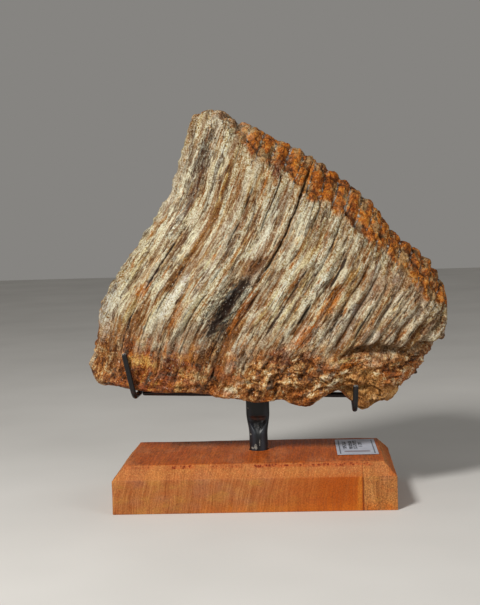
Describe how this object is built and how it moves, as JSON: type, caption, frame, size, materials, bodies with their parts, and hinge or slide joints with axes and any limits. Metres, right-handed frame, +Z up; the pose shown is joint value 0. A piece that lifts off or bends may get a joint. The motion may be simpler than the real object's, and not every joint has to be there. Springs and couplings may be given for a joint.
{
  "type": "woolly mammoth molar on a cradle stand",
  "caption": "Fossil woolly mammoth molar standing crown up in a bent wire cradle, on a short steel post in a chamfered wooden block.",
  "frame": {"origin": "centre of the wooden block's underside", "axes": "+Z up, +Y away from the side with the front hooks, +X towards the low end of the chewing surface"},
  "size_m": [0.2652, 0.104, 0.2843],
  "materials": {
    "fossil_tooth": "fibrous cream, grey and ochre fossil tooth with an orange chewing surface",
    "black_wire": "thin satin black paint on round rod, worn at the tips",
    "painted_post": "satin black paint on pressed steel tube, chipped near the foot",
    "block_wood": "reddish orange hardwood, sawn chamfer, thin oil finish",
    "end_stave_wood": "the same wood, paler and finer, end grain in front",
    "label_paper": "matt white paper"
  },
  "bodies": {
    "root": {"molar": "fossil_tooth", "cradle_bar": "black_wire", "left_prong": "black_wire", "right_prong": "black_wire", "post": "painted_post", "wide_stave": "block_wood", "narrow_stave": "end_stave_wood", "label": "label_paper"}
  },
  "joints": []
}
